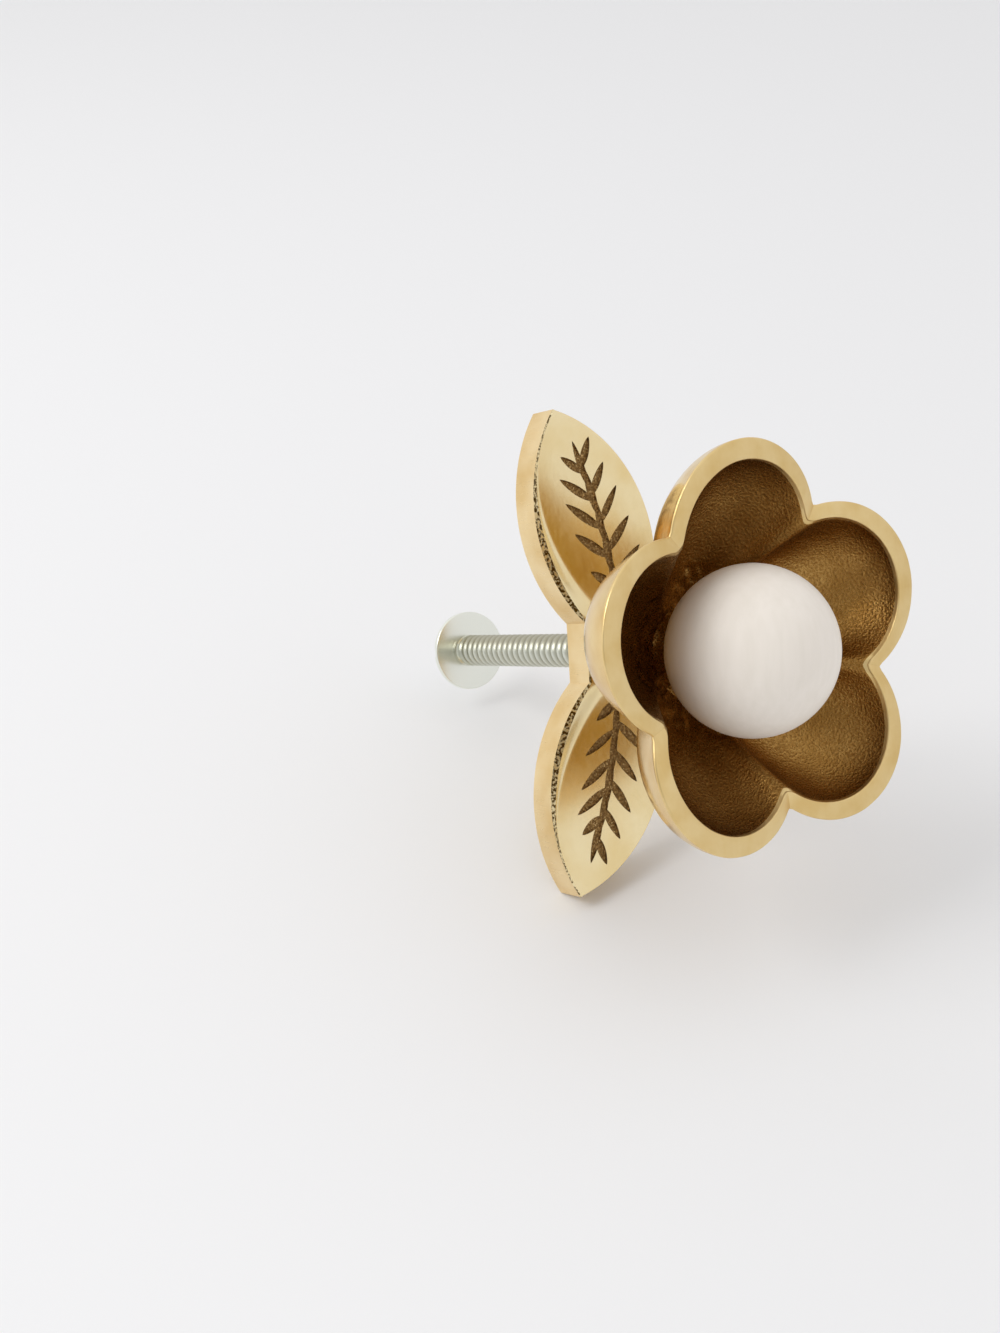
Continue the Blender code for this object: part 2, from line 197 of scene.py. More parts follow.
def edge_skin():
    """Casting skin left along the edge: bright where the file caught it, dark in its pits, which
    grow denser towards the hub."""
    material, tree, place = new_material("rough_edge_skin")
    pits = clouds(tree, place, 0.30 * MM, 0.44, 0.56, detail=4.0)
    spot = add(tree, "ShaderNodeSeparateXYZ", {0: place})
    inward = add(tree, "ShaderNodeMath", {0: spot.outputs[0]}, operation="ABSOLUTE")
    more = add(tree, "ShaderNodeMapRange", {
        "Value": inward, "From Min": 9.0 * MM, "From Max": 20.0 * MM,
        "To Min": 0.35, "To Max": -0.1})
    pits = add(tree, "ShaderNodeMath", {0: pits, 1: more}, operation="ADD", use_clamp=True)
    colour = add(tree, "ShaderNodeMix", {0: pits, 6: linear("F6E6B8"), 7: linear("574119")},
                 data_type="RGBA")
    surface(tree, colour, 0.36, relief=pits, depth=0.05 * MM)
    return material


def graver_patina():
    """Dark patina in the graver's cuts, over a torn, grainy bottom."""
    material, tree, place = new_material("dark_patina_cut")
    grain = clouds(tree, place, 0.28 * MM, 0.42, 0.66, detail=4.0)
    specks = clouds(tree, place, 0.22 * MM, 0.60, 0.68)
    bottom = add(tree, "ShaderNodeMix", {0: grain, 6: linear("7C5D31"), 7: linear("B6925A")},
                 data_type="RGBA")
    colour = add(tree, "ShaderNodeMix", {0: specks, 6: bottom, 7: linear("ECCD92")},
                 data_type="RGBA")
    surface(tree, colour, 0.5, metallic=0.7, relief=grain, depth=0.08 * MM)
    return material


def on_arc(start, end, bulge, share):
    """The point at a share of the arc from start to end; a positive bulge is to its left."""
    chord = end - start
    half_turn = 2.0 * math.atan2(2.0 * abs(bulge), chord.length)
    radius = chord.length / (2.0 * math.sin(half_turn))
    turn = half_turn * (2.0 * share - 1.0)
    forward = chord.normalized()
    aside = math.copysign(radius * (math.cos(turn) - math.cos(half_turn)), bulge)
    along = chord.length / 2.0 + radius * math.sin(turn)
    return start + forward * along + Vector((-forward.y, forward.x)) * aside


def leaf_section(share, side):
    """Points of the plate's section at a share of a leaf's length; side is 1 for the +X leaf."""
    tip = Vector((leaf_reach * math.cos(leaf_sweep), leaf_reach * math.sin(leaf_sweep)))
    upper = on_arc(Vector((hub_half_width, hub_half_height)), tip, upper_edge_bulge, share)
    lower = on_arc(Vector((hub_half_width, -hub_half_height)), tip, -lower_edge_bulge, share)
    width = (lower - upper).length
    swell = skin_at_ends + (1.0 - skin_at_ends) * math.sin(math.pi * share ** skin_skew)
    skin = min(skin_width * swell, width / 4.0)
    land = min(edge_break, width / 4.0)
    dish = (leaf_dish * (1.0 - (1.0 - share) ** dish_rise_at_hub)
            * (1.0 - share ** dish_fall_at_tip))
    border = (dish_border_at_tip + (dish_border_at_hub - dish_border_at_tip)
              * (1.0 - share) ** dish_border_fall)
    points = []
    for i in range(leaf_across + 1):
        inward = (i / leaf_across) ** crowding_at_edge
        across = (skin + (width - skin - land) * inward) / max(width, thinnest_leaf)
        drop = min(across / border, 1.0)
        depth = plate_thickness - dish * drop ** 2 * (3.0 - 2.0 * drop) * (1.0 - across)
        points.append((upper.lerp(lower, across), depth))
    for edge, inset, order in ((lower, land, 1), (upper, skin_drop * skin, -1)):
        wall = [(plate_thickness - inset) * (1.0 - i / wall_rows) for i in range(wall_rows + 1)]
        points += [(edge, depth) for depth in wall[::order]]
    return [Vector((side * flat.x, -depth, flat.y)) for flat, depth in points]


def skin_over(name, rings, finishes, materials):
    """A closed mesh over rings of equally many points; strip i of each ring has finishes[i]."""
    shape = bmesh.new()
    rows = [[shape.verts.new(point) for point in ring] for ring in rings]
    count = len(rows[0])
    for row, following in zip(rows, rows[1:]):
        for i in range(count):
            j = (i + 1) % count
            face = shape.faces.new((row[i], row[j], following[j], following[i]))
            face.material_index = finishes[i]
    bmesh.ops.remove_doubles(shape, verts=shape.verts, dist=weld)
    bmesh.ops.recalc_face_normals(shape, faces=shape.faces)
    mesh = bpy.data.meshes.new(name)
    shape.to_mesh(mesh)
    shape.free()
    for material in materials:
        mesh.materials.append(material)
    return mesh


def new_tree(name, inputs):
    """A geometry tree with named inputs, and its group input sockets."""
    tree = bpy.data.node_groups.new(name, "GeometryNodeTree")
    tree.interface.new_socket("Geometry", in_out="INPUT", socket_type="NodeSocketGeometry")
    for title, kind in inputs.items():
        tree.interface.new_socket(title, in_out="INPUT", socket_type="NodeSocket" + kind)
    tree.interface.new_socket("Geometry", in_out="OUTPUT", socket_type="NodeSocketGeometry")
    return tree, add(tree, "NodeGroupInput").outputs


def end_tree(tree, geometry, finishes):
    """Realizes the instances and sets each material on the faces whose finish is its number."""
    last = add(tree, "GeometryNodeRealizeInstances", {0: geometry})
    finish = add(tree, "GeometryNodeInputNamedAttribute", {"Name": "finish"}, data_type="INT")
    for number, material in enumerate(finishes):
        chosen = add(tree, "FunctionNodeCompare", {2: finish, 3: number}, data_type="INT",
                     operation="EQUAL")
        last = add(tree, "GeometryNodeSetMaterial",
                   {"Geometry": last, "Selection": chosen, "Material": material})
    add(tree, "NodeGroupOutput", {0: last})


def grow(name, mesh, tree, values, crease=30.0):
    """Runs a geometry tree on a mesh and keeps the result as a plain, smooth-shaded object."""
    piece = bpy.data.objects.new(name, mesh)
    scene.collection.objects.link(piece)
    step = piece.modifiers.new(tree.name, "NODES")
    step.node_group = tree
    for socket in tree.interface.items_tree:
        if socket.in_out == "INPUT" and socket.name in values:
            step[socket.identifier] = values[socket.name]
    bpy.context.view_layer.update()
    grown = piece.evaluated_get(bpy.context.evaluated_depsgraph_get())
    mesh = bpy.data.meshes.new_from_object(grown)
    piece.modifiers.remove(step)
    piece.data = mesh
    mesh.name = name
    mesh.shade_smooth()
    mesh.set_sharp_from_angle(angle=math.radians(crease))
    return piece


def engraving_tree(finishes):
    """Graver strokes along a bowed midrib, laid on both dished faces and cut out of the plate."""
    tree, given = new_tree("engraved_veins", {
        "Pairs": "Int", "First": "Float", "Spacing": "Float", "Stagger": "Float",
        "Shortest": "Float", "Longest": "Float", "Width": "Float", "Angle": "Float",
        "Closing": "Float", "Left Lead": "Float", "Rib Lead": "Float", "Rib Stroke": "Float",
        "Rib Width": "Float", "Depth": "Float", "Hole Radius": "Float"})

    # The midrib is a parabola beside the leaf's own axis
    bends = []
    middle = (midrib_start + midrib_end) / 2.0
    for along, bow in ((midrib_start, 1.0), (middle, -1.0), (midrib_end, 1.0)):
        aside = midrib_bow * bow - midrib_offset
        bends.append((along * math.cos(leaf_sweep) - aside * math.sin(leaf_sweep), 0.0,
                      along * math.sin(leaf_sweep) + aside * math.cos(leaf_sweep)))
    midrib = add(tree, "GeometryNodeCurveQuadraticBezier", {
        "Resolution": midrib_steps, "Start": bends[0], "Middle": bends[1], "End": bends[2]})

    # One stroke is a blade outline, one unit long and wide, that swells and ends in points
    flat = add(tree, "GeometryNodeMeshGrid", {
        "Size X": 1.0, "Size Y": 1.0, "Vertices X": blade_columns, "Vertices Y": blade_rows})
    spot = add(tree, "ShaderNodeSeparateXYZ", {0: add(tree, "GeometryNodeInputPosition")})
    blade = work_out(tree, {"x": spot.outputs[0], "y": spot.outputs[1]}, [
        ("along", "ADD", "x", 0.5), ("held", "MAXIMUM", "along", 0.0),
        ("skewed", "POWER", "held", blade_skew), ("phase", "MULTIPLY", "skewed", math.pi),
        ("belly", "SINE", "phase"), ("belly", "MAXIMUM", "belly", 0.0),
        ("belly", "POWER", "belly", blade_fullness), ("aside", "MULTIPLY", "y", "belly")])
    outline = add(tree, "ShaderNodeCombineXYZ", {0: blade["along"], 2: blade["aside"]})
    stroke = add(tree, "GeometryNodeSetPosition",
                 {"Geometry": flat.outputs["Mesh"], "Position": outline})
    stroke = add(tree, "GeometryNodeMergeByDistance",
                 {"Geometry": stroke, "Distance": blade_weld})

    # Side is 1 for the +X leaf. Way is 1 for the barbs above the midrib, -1 for those below it,
    # which start a little further out, and 0 for the midrib's own strokes. On the other leaf the
    # barbs above stand nearer the hub by the left lead, and all strokes are higher by left_rise
    both = add(tree, "GeometryNodeJoinGeometry")
    number = add(tree, "GeometryNodeInputIndex")
    for side, way, seed in ((1.0, 0.0, 3), (1.0, 1.0, 5), (1.0, -1.0, 8),
                            (-1.0, 0.0, 4), (-1.0, 1.0, 6), (-1.0, -1.0, 9)):
        known = {title.lower(): given[title] for title in (
            "Pairs", "First", "Spacing", "Stagger", "Shortest", "Longest", "Width", "Angle",
            "Closing", "Rib Lead", "Rib Stroke", "Rib Width", "Left Lead")}
        known["number"] = number
        work_out(tree, known, [
            ("run", "MULTIPLY_ADD", "number", "spacing", "first"),
            ("run", "MULTIPLY_ADD", "stagger", max(-way, 0.0), "run"),
            ("run", "MULTIPLY_ADD", "rib lead", abs(way) - 1.0, "run"),
            ("run", "MULTIPLY_ADD", "left lead", min(side * max(way, 0.0), 0.0), "run"),
            ("run", "SUBTRACT", "run", midrib_start),
            ("last", "SUBTRACT", "pairs", 1.0), ("share", "DIVIDE", "number", "last"),
            ("phase", "MULTIPLY", "share", math.pi), ("swell", "SINE", "phase"),
            ("fading", "SUBTRACT", barb_fading, "share"),
            ("extra", "SUBTRACT", "longest", "shortest"),
            ("length", "MULTIPLY_ADD", "extra", "fading" if way < 0.0 else "swell", "shortest"),
            ("closed", "MULTIPLY", "closing", "share"),
            ("closed", "MULTIPLY", "closed", 1.0 if way > 0.0 else fading_closing),
            ("turn", "SUBTRACT", "angle", "closed"),
            ("turn", "MULTIPLY", "turn", -way)])
        if way == 0.0:
            known["length"], known["width"] = given["Rib Stroke"], given["Rib Width"]
        for i, (trait, spread) in enumerate(stroke_chances):
            chance = add(tree, "FunctionNodeRandomValue", {
                2: 1.0 - spread, 3: 1.0 + spread, "ID": number, "Seed": seed + chance_step * i})
            work_out(tree, known, [(trait, "MULTIPLY", trait, chance.outputs[1])])
        place = add(tree, "GeometryNodeSampleCurve",
                    {"Curves": midrib, "Length": known["run"]}, mode="LENGTH")
        points = add(tree, "GeometryNodePoints",
                     {"Count": given["Pairs"], "Position": place.outputs["Position"]})
        heading = add(tree, "FunctionNodeAlignRotationToVector",
                      {"Vector": place.outputs["Tangent"]}, axis="X", pivot_axis="Y")
        swing = add(tree, "ShaderNodeCombineXYZ", {1: known["turn"]})
        aim = add(tree, "FunctionNodeRotateRotation", {0: heading, 1: swing},
                  rotation_space="LOCAL")
        size = add(tree, "ShaderNodeCombineXYZ", {0: known["length"], 1: 1.0, 2: known["width"]})
        laid = add(tree, "GeometryNodeInstanceOnPoints", {"Points": points, "Instance": stroke,
                                                          "Rotation": aim, "Scale": size})
        laid = add(tree, "GeometryNodeRealizeInstances", {0: laid})
        if side < 0.0:
            laid = add(tree, "GeometryNodeTransform", {
                "Geometry": laid, "Translation": (0.0, 0.0, left_rise), "Scale": (-1.0, 1.0, 1.0)})
            laid = add(tree, "GeometryNodeFlipFaces", {0: laid})
        tree.links.new(laid.outputs[0], both.inputs[0])

    # The strokes become blocks, and their floors drop on to the dished face and into it
    floor = add(tree, "GeometryNodeSetPosition",
                {"Geometry": both, "Offset": (0.0, -plate_thickness, 0.0)})
    block = add(tree, "GeometryNodeExtrudeMesh",
                {"Mesh": floor, "Offset": (0.0, -block_height, 0.0), "Individual": False})
    lid = add(tree, "GeometryNodeFlipFaces", {0: floor})
    closed = add(tree, "GeometryNodeJoinGeometry", {0: block})
    tree.links.new(lid.outputs[0], closed.inputs[0])
    closed = add(tree, "GeometryNodeMergeByDistance", {"Geometry": closed, "Distance": weld})
    here = add(tree, "GeometryNodeInputPosition")
    height = add(tree, "ShaderNodeSeparateXYZ", {0: here})
    low = add(tree, "ShaderNodeMath",
              {0: height.outputs[1], 1: -plate_thickness - block_height / 2.0},
              operation="GREATER_THAN")
    above = add(tree, "ShaderNodeVectorMath", {0: here, 1: (0.0, -block_height, 0.0)},
                operation="ADD")
    hit = add(tree, "GeometryNodeRaycast",
              {"Target Geometry": given["Geometry"], "Source Position": above,
               "Ray Direction": (0.0, 1.0, 0.0), "Ray Length": ray_length})
    drop = add(tree, "ShaderNodeCombineXYZ", {1: given["Depth"]})
    sunk = add(tree, "ShaderNodeVectorMath", {0: hit.outputs["Hit Position"], 1: drop},
               operation="ADD")
    draped = add(tree, "GeometryNodeSetPosition",
                 {"Geometry": closed, "Selection": low, "Position": sunk})
    hole = add(tree, "GeometryNodeMeshCylinder", {
        "Vertices": screw_hole_sides, "Radius": given["Hole Radius"],
        "Depth": 4.0 * plate_thickness})
    hole = add(tree, "GeometryNodeTransform", {"Geometry": hole.outputs["Mesh"],
                                               "Rotation": (math.pi / 2.0, 0.0, 0.0)})
    carved = given["Geometry"]
    for cutter, finish in ((draped, cut), (hole, filed)):
        marked = add(tree, "GeometryNodeStoreNamedAttribute",
                     {"Geometry": cutter, "Name": "finish", "Value": finish},
                     data_type="INT", domain="FACE")
        carved = add(tree, "GeometryNodeMeshBoolean",
                     {"Mesh 1": carved, "Mesh 2": marked, "Self Intersection": True},
                     operation="DIFFERENCE", solver="EXACT").outputs["Mesh"]
    end_tree(tree, carved, finishes)
    return tree


shares = [(i / leaf_stations) ** crowding_at_hub for i in range(leaf_stations + 1)]
rings = [leaf_section(share, -1.0) for share in reversed(shares)]
rings += [leaf_section(share, 1.0) for share in shares]
strips = [satin] * leaf_across + [filed] * (2 * wall_rows + 2) + [rough]
plate_finishes = [satin_brass(), filed_brass(), edge_skin(), graver_patina()]
blank = skin_over("leaf_blank", rings, strips, plate_finishes)
marks = blank.attributes.new("finish", "INT", "FACE")
marks.data.foreach_set("value", [face.material_index for face in blank.polygons])
leaves = grow("engraved_leaf_plate", blank, engraving_tree(plate_finishes), {
    "Pairs": barb_pairs, "First": first_barb, "Spacing": barb_spacing, "Stagger": barb_stagger,
    "Shortest": barb_shortest, "Longest": barb_longest, "Width": barb_width, "Angle": barb_angle,
    "Closing": barb_closing, "Left Lead": left_lead, "Rib Lead": rib_lead,
    "Rib Stroke": rib_stroke, "Rib Width": rib_width, "Depth": cut_depth,
    "Hole Radius": screw_hole_radius})
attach(leaves, "root")
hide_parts("leaf_plate")


# Flower cup: a cup of five petals and its short stem, sand cast in brass as one piece. The wall is
# polished outside, the flat rim is brushed bright, and the inside is antiqued to a dark brown over
# the sand's grain. The screw holds it against the plate.

petal_count = 5
flower_turn = math.radians(-9.9)
rim_depth = -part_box("flower_cup")[0][1]
petal_tip_radius = 21.0 * MM
petal_notch_radius = 16.0 * MM
notch_dip = 1.5 * MM
cup_wall = 2.15 * MM
cup_depth = 16.5 * MM
wall_flare = 1.5
floor_thickness = 2.4 * MM
valley_foot_radius = 6.2 * MM
valley_rise = 0.9 * MM
ridge_foot_radius = 5.2 * MM
ridge_rise = 0.5 * MM
rim_rounding = 0.22 * MM
valley_ease = 0.5 * MM
ridge_ease = 1.4 * MM
ridge_ease_low = 2.8 * MM
ease_push = 0.5
nearest_axis = 0.1 * MM
stem_radius = 4.6 * MM
stem_bevel = 0.25 * MM
stem_back = plate_thickness + 0.3 * MM
stem_fillet = 1.0 * MM
seat_radius = 4.2 * MM
seat_top = rim_depth - cup_depth + floor_thickness + 1.68 * MM
lump_height = 0.12 * MM
lump_size = 5.0 * MM
crumb_height = 0.8 * MM
crumb_size = 1.3 * MM
crumb_start = seat_radius + 0.4 * MM
crumb_reach = 9.0 * MM
crumb_top = seat_top - 1.0 * MM
noise_middle = 0.6
# Where the painted shade on the back of the bowl starts, and where it is full
back_shade_start = 26.0 * MM
back_shade_end = 21.0 * MM
pin_hole_radius = 1.5 * MM
pin_hole_end = seat_top - 3.3 * MM
screw_hole_end = pin_hole_end - 1.88 * MM
petal_steps = 48
wall_steps = 56
rim_steps = 4
fillet_steps = 6


def bowl_rows(tip_radius, notch_radius, depth, foot_radius, foot_rise):
    """Rows (tip radius, tip depth, notch radius, notch depth) up one side of the cup's wall."""
    foot_turn = math.acos((foot_radius / tip_radius) ** (1.0 / wall_flare))
    foot_depth = rim_depth - depth * math.sin(foot_turn)
    low = foot_depth + foot_rise
    rows = []
    for i in range(wall_steps + 1):
        turn = foot_turn * (1.0 - i / wall_steps)
        tip_depth = rim_depth - depth * math.sin(turn)
        climb = (tip_depth - foot_depth) / (rim_depth - foot_depth)
        rows.append((tip_radius * math.cos(turn) ** wall_flare, tip_depth,
                     foot_radius + (notch_radius - foot_radius) * climb,
                     low + (rim_depth - notch_dip - low) * climb))
    return rows


def cup_profile():
    """Rows from the screw hole over the rim to the pin hole, each with its ease and finish."""
    polished, brushed, antiqued = 0, 1, 2
    outer = bowl_rows(petal_tip_radius, petal_notch_radius, cup_depth, valley_foot_radius,
                      valley_rise)
    inner = bowl_rows(petal_tip_radius - cup_wall, petal_notch_radius - cup_wall,
                      cup_depth - floor_thickness, ridge_foot_radius, ridge_rise)
    profile = [(radius, depth, radius, depth, 0.0, polished) for radius, depth in (
        (0.0, screw_hole_end), (screw_hole_radius, screw_hole_end),
        (screw_hole_radius, stem_back), (stem_radius - stem_bevel, stem_back),
        (stem_radius, stem_back + stem_bevel))]
    foot = outer[0]
    start = (stem_radius, foot[1] - stem_fillet, stem_radius, foot[1] - stem_fillet)
    for i in range(fillet_steps):
        share = i / fillet_steps
        swings = (share ** 2, 2.0 * share - share ** 2) * 2
        profile.append((*(a + (b - a) * swing for a, b, swing in zip(start, foot, swings)),
                        valley_ease, polished))
    top = rim_depth - 2.0 * rim_rounding
    profile += [(*row, valley_ease, polished) for row in outer if row[1] < top]
    turns = [i / rim_steps * math.pi / 2.0 for i in range(rim_steps + 1)]
    edge = [(rim_rounding * (1.0 - math.cos(turn)), rim_rounding * (1.0 - math.sin(turn)))
            for turn in turns]
    edge += [(cup_wall - inset, drop) for inset, drop in reversed(edge)]
    profile += [(petal_tip_radius - inset, rim_depth - drop, petal_notch_radius - inset,
                 rim_depth - notch_dip - drop,
                 valley_ease if inset < cup_wall / 2.0 else ridge_ease, brushed)
                for inset, drop in edge]
    foot = inner[0][1]
    profile += [(*row, ridge_ease_low + (ridge_ease - ridge_ease_low)
                 * (row[1] - foot) / (rim_depth - foot), antiqued)
                for row in reversed(inner) if row[1] < top]
    profile += [(radius, depth, radius, depth, 0.0, antiqued) for radius, depth in (
        (seat_radius, seat_top), (pin_hole_radius, seat_top), (pin_hole_radius, pin_hole_end),
        (0.0, pin_hole_end))]
    return profile


def petal_seed():
    """The profile as a line of points that carry each ring's arc, fall, ease and finish."""
    arcs, falls, finishes = [], [], []
    half = math.pi / petal_count
    for tip, tip_depth, notch, notch_depth, ease, finish in cup_profile():
        notch_x = notch * math.cos(half)
        centre = (tip ** 2 - notch ** 2) / (2.0 * (tip - notch_x)) if tip > 0.0 else 0.0
        spread = math.atan2(notch * math.sin(half), notch_x - centre)
        arcs.append((centre, tip - centre, spread))
        falls.append((tip_depth, notch_depth - tip_depth, ease))
        finishes.append(finish)
    mesh = bpy.data.meshes.new("petal_profile")
    edges = [(i, i + 1) for i in range(len(arcs) - 1)]
    points = [(centre + radius, -fall[0], 0.0) for (centre, radius, _), fall in zip(arcs, falls)]
    mesh.from_pydata(points, edges, [])
    for name, values in (("arc", arcs), ("fall", falls)):
        layer = mesh.attributes.new(name, "FLOAT_VECTOR", "POINT")
        layer.data.foreach_set("vector", [part for value in values for part in value])
    mesh.attributes.new("row_finish", "INT", "POINT").data.foreach_set("value", finishes)
    return mesh


def petal_tree(finishes):
    """Sweeps the profile round the axis in equal arcs, one for each petal, with cast lumps."""
    tree, given = new_tree("petalled_casting", {
        "Rows": "Int", "Petals": "Int", "Steps": "Int", "Turn": "Float", "Lumps": "Float",
        "Lump Size": "Float", "Crumbs": "Float", "Crumb Size": "Float"})
    known = {"index": add(tree, "GeometryNodeInputIndex"), "petals": given["Petals"],
             "steps": given["Steps"], "start": given["Turn"]}
    work_out(tree, known, [
        ("round", "MULTIPLY", "petals", "steps"), ("count", "ADD", "round", 1.0),
        ("row place", "DIVIDE", "index", "count"), ("row", "FLOOR", "row place"),
        ("row start", "MULTIPLY", "row", "count"), ("column", "SUBTRACT", "index", "row start"),
        ("petal place", "DIVIDE", "column", "steps"), ("petal", "FLOOR", "petal place"),
        ("part", "SUBTRACT", "petal place", "petal"), ("share", "MULTIPLY_ADD", "part", 2.0, -1.0),
        ("square", "MULTIPLY", "share", "share"), ("face place", "DIVIDE", "index", "round"),
        ("face row", "FLOOR", "face place"), ("whole", "DIVIDE", 2.0 * math.pi, "petals"),
        ("ahead", "MULTIPLY_ADD", "petal", "whole", "start"),
        ("ahead", "MULTIPLY", "ahead", -1.0)])
    grid = add(tree, "GeometryNodeMeshGrid",
               {"Size X": 1.0, "Size Y": 1.0, "Vertices X": given["Rows"],
                "Vertices Y": known["count"]})
    rows = {}
    for name, kind, row in (("arc", "FLOAT_VECTOR", "row"), ("fall", "FLOAT_VECTOR", "row"),
                            ("row_finish", "INT", "face row")):
        carried = add(tree, "GeometryNodeInputNamedAttribute", {"Name": name}, data_type=kind)
        rows[name] = add(tree, "GeometryNodeSampleIndex",
                         {"Geometry": given["Geometry"], "Value": carried, "Index": known[row]},
                         data_type=kind, domain="POINT")
    arc = add(tree, "ShaderNodeSeparateXYZ", {0: rows["arc"]})
    fall = add(tree, "ShaderNodeSeparateXYZ", {0: rows["fall"]})
    known.update({"centre": arc.outputs[0], "radius": arc.outputs[1], "spread": arc.outputs[2],
                  "tip depth": fall.outputs[0], "fall": fall.outputs[1], "ease": fall.outputs[2]})
    work_out(tree, known, [
        ("turn", "MULTIPLY", "spread", "share"), ("cos", "COSINE", "turn"),
        ("sin", "SINE", "turn"), ("x", "MULTIPLY_ADD", "cos", "radius", "centre"),
        ("z", "MULTIPLY", "sin", "radius"),
        ("depth", "MULTIPLY_ADD", "fall", "square", "tip depth"),
        ("y", "MULTIPLY", "depth", -1.0)])

    # Where two arcs meet, the corner is pushed outwards into a curve as wide as the row's ease
    work_out(tree, known, [
        ("half", "DIVIDE", math.pi, "petals"), ("lean", "SUBTRACT", "spread", "half"),
        ("lean", "SINE", "lean"), ("lean", "MAXIMUM", "lean", 0.0),
        ("reach", "ABSOLUTE", "share"), ("left", "SUBTRACT", 1.0, "reach"),
        ("run", "MULTIPLY", "left", "spread"), ("run", "MULTIPLY", "run", "radius"),
        ("near", "DIVIDE", "run", "ease"), ("near", "MINIMUM", "near", 1.0),
        ("gap", "SUBTRACT", 1.0, "near"), ("gap", "MULTIPLY", "gap", "gap"),
        ("push", "MULTIPLY", "gap", "ease"), ("push", "MULTIPLY", "push", "lean"),
        ("push", "MULTIPLY", "push", ease_push), ("away", "MULTIPLY", "x", "x"),
        ("away", "MULTIPLY_ADD", "z", "z", "away"), ("away", "SQRT", "away"),
        ("away", "MAXIMUM", "away", nearest_axis), ("growth", "DIVIDE", "push", "away"),
        ("growth", "ADD", "growth", 1.0), ("x", "MULTIPLY", "x", "growth"),
        ("z", "MULTIPLY", "z", "growth")])
    ahead = add(tree, "ShaderNodeCombineXYZ", {0: known["x"], 1: known["y"], 2: known["z"]})
    place = add(tree, "ShaderNodeVectorRotate", {"Vector": ahead, "Angle": known["ahead"]},
                rotation_type="Y_AXIS")
    skin = add(tree, "GeometryNodeStoreNamedAttribute",
               {"Geometry": grid.outputs["Mesh"], "Name": "finish", "Value": rows["row_finish"]},
               data_type="INT", domain="FACE")
    skin = add(tree, "GeometryNodeSetPosition", {"Geometry": skin, "Position": place})
    skin = add(tree, "GeometryNodeMergeByDistance", {"Geometry": skin, "Distance": weld})
    skin = add(tree, "GeometryNodeFlipFaces", {0: skin})
    here = add(tree, "GeometryNodeInputPosition")
    spot = add(tree, "ShaderNodeSeparateXYZ", {0: here})
    raised = {"x": spot.outputs[0], "y": spot.outputs[1], "z": spot.outputs[2]}
    for height, size in (("Lumps", "Lump Size"), ("Crumbs", "Crumb Size")):
        fineness = add(tree, "ShaderNodeMath", {0: 1.0, 1: given[size]}, operation="DIVIDE")
        raised[height] = add(tree, "ShaderNodeTexNoise",
                             {"Vector": here, "Scale": fineness, "Detail": 2.0})
    raised.update({"lumps": given["Lumps"], "crumbs": given["Crumbs"]})
    work_out(tree, raised, [
        ("even", "SUBTRACT", "Lumps", noise_middle), ("rise", "MULTIPLY", "even", "lumps"),
        ("far", "MULTIPLY", "x", "x"), ("far", "MULTIPLY_ADD", "z", "z", "far"),
        ("far", "SQRT", "far"), ("inside", "LESS_THAN", "y", -crumb_top),
        ("clear", "GREATER_THAN", "far", crumb_start),
        ("near", "LESS_THAN", "far", crumb_reach), ("spot", "MULTIPLY", "inside", "clear"),
        ("spot", "MULTIPLY", "spot", "near"), ("even", "SUBTRACT", "Crumbs", noise_middle),
        ("even", "MULTIPLY", "even", "crumbs"), ("rise", "MULTIPLY_ADD", "spot", "even", "rise")])
    shift = add(tree, "ShaderNodeVectorMath",
                {0: add(tree, "GeometryNodeInputNormal"), "Scale": raised["rise"]},
                operation="SCALE")
    skin = add(tree, "GeometryNodeSetPosition", {"Geometry": skin, "Offset": shift})
    end_tree(tree, skin, finishes)
    return tree


def polished_brass():
    """Cast brass polished by hand: glossy gold in soft waves, and a deeper gold painted on the
    back of the bowl as the shade in the gap between the cup and the plate."""
    material, tree, place = new_material("polished_cast_brass")
    cloud = clouds(tree, place, 4.0 * MM, 0.35, 0.7)
    spot = add(tree, "ShaderNodeSeparateXYZ", {0: place})
    # Painted shade: the back of the bowl, facing the plate, turns a deeper gold
    behind = add(tree, "ShaderNodeMapRange", {
        "Value": spot.outputs[1], "From Min": -back_shade_start, "From Max": -back_shade_end})
    colour = add(tree, "ShaderNodeMix", {0: cloud, 6: linear("ECD29C"), 7: linear("DFBC80")},
                 data_type="RGBA")
    colour = add(tree, "ShaderNodeMix", {0: behind, 6: colour, 7: linear("B48A2C")},
                 data_type="RGBA")
    rough = add(tree, "ShaderNodeMapRange", {"Value": cloud, "To Min": 0.16, "To Max": 0.26})
    surface(tree, colour, rough, relief=cloud, depth=0.02 * MM)
    return material


def brushed_rim():
    """The rim rubbed flat on an abrasive sheet: pale brass with fine, short scratches."""
    material, tree, place = new_material("brushed_brass_rim")
    cloud = clouds(tree, place, 3.0 * MM, 0.35, 0.7)
    scratch = clouds(tree, place, 0.30 * MM, 0.3, 0.7, stretch=(0.15, 1.0, 1.0))
    colour = add(tree, "ShaderNodeMix", {0: cloud, 6: linear("E8CE96"), 7: linear("DEBF80")},
                 data_type="RGBA")
    rough = add(tree, "ShaderNodeMapRange", {"Value": scratch, "To Min": 0.30, "To Max": 0.42})
    surface(tree, colour, rough, relief=scratch, depth=0.006 * MM)
    return material


